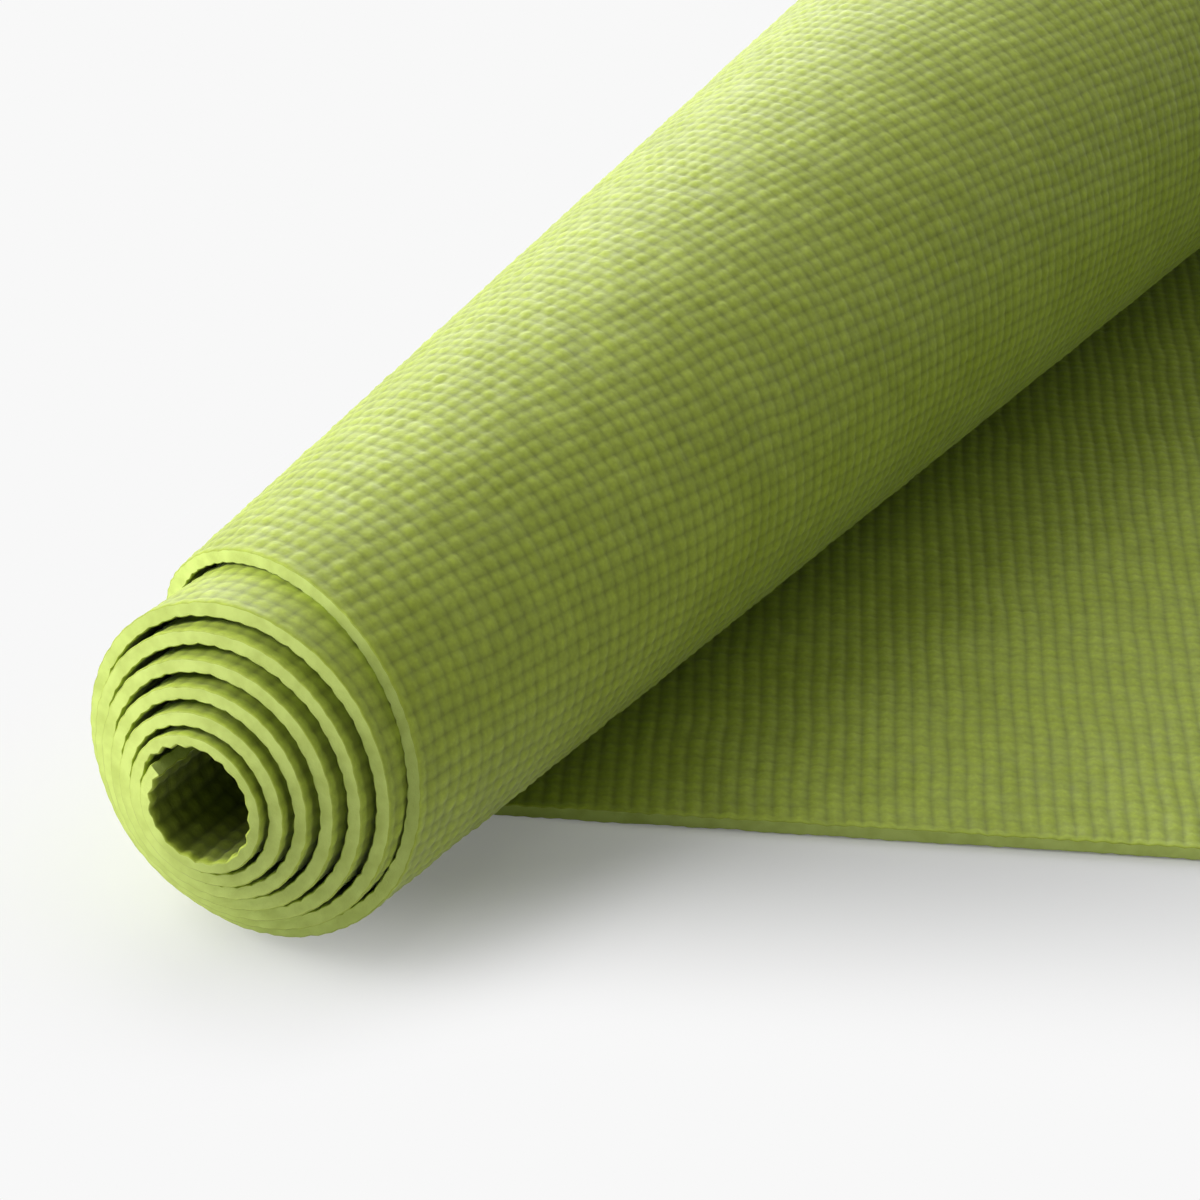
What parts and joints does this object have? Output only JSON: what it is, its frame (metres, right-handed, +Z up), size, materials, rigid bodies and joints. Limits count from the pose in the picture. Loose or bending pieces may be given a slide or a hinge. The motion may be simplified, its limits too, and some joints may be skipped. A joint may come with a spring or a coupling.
{
  "type": "yoga mat",
  "caption": "Partly unrolled exercise mat of foam on a woven scrim: a tight roll whose outer turn opens like a cone, then a flat part whose free end lifts.",
  "frame": {"origin": "middle of the whole part's outline, on the floor that it lies on", "axes": "+Y along the roll toward the end where its outer turn opens, +Z up from the floor, +X toward the flat part"},
  "size_m": [0.7362, 0.9284, 0.1474],
  "materials": {
    "foam": "matte, with the scrim's bumps showing through",
    "scrim": "matte open weave"
  },
  "bodies": {
    "rolled": {"rolled_underside_foam": "foam", "rolled_scrim": "scrim", "rolled_topside_foam": "foam"},
    "free_end": {"free_end_underside_foam": "foam", "free_end_scrim": "scrim", "free_end_topside_foam": "foam"}
  },
  "joints": [
    {"name": "free_end_lift", "type": "hinge", "parent": "rolled", "child": "free_end", "pos_m": [-0.06874, 0.04477, 0.00295], "axis": [0.4179, -0.9085, 0], "range_deg": [0, 90]}
  ]
}
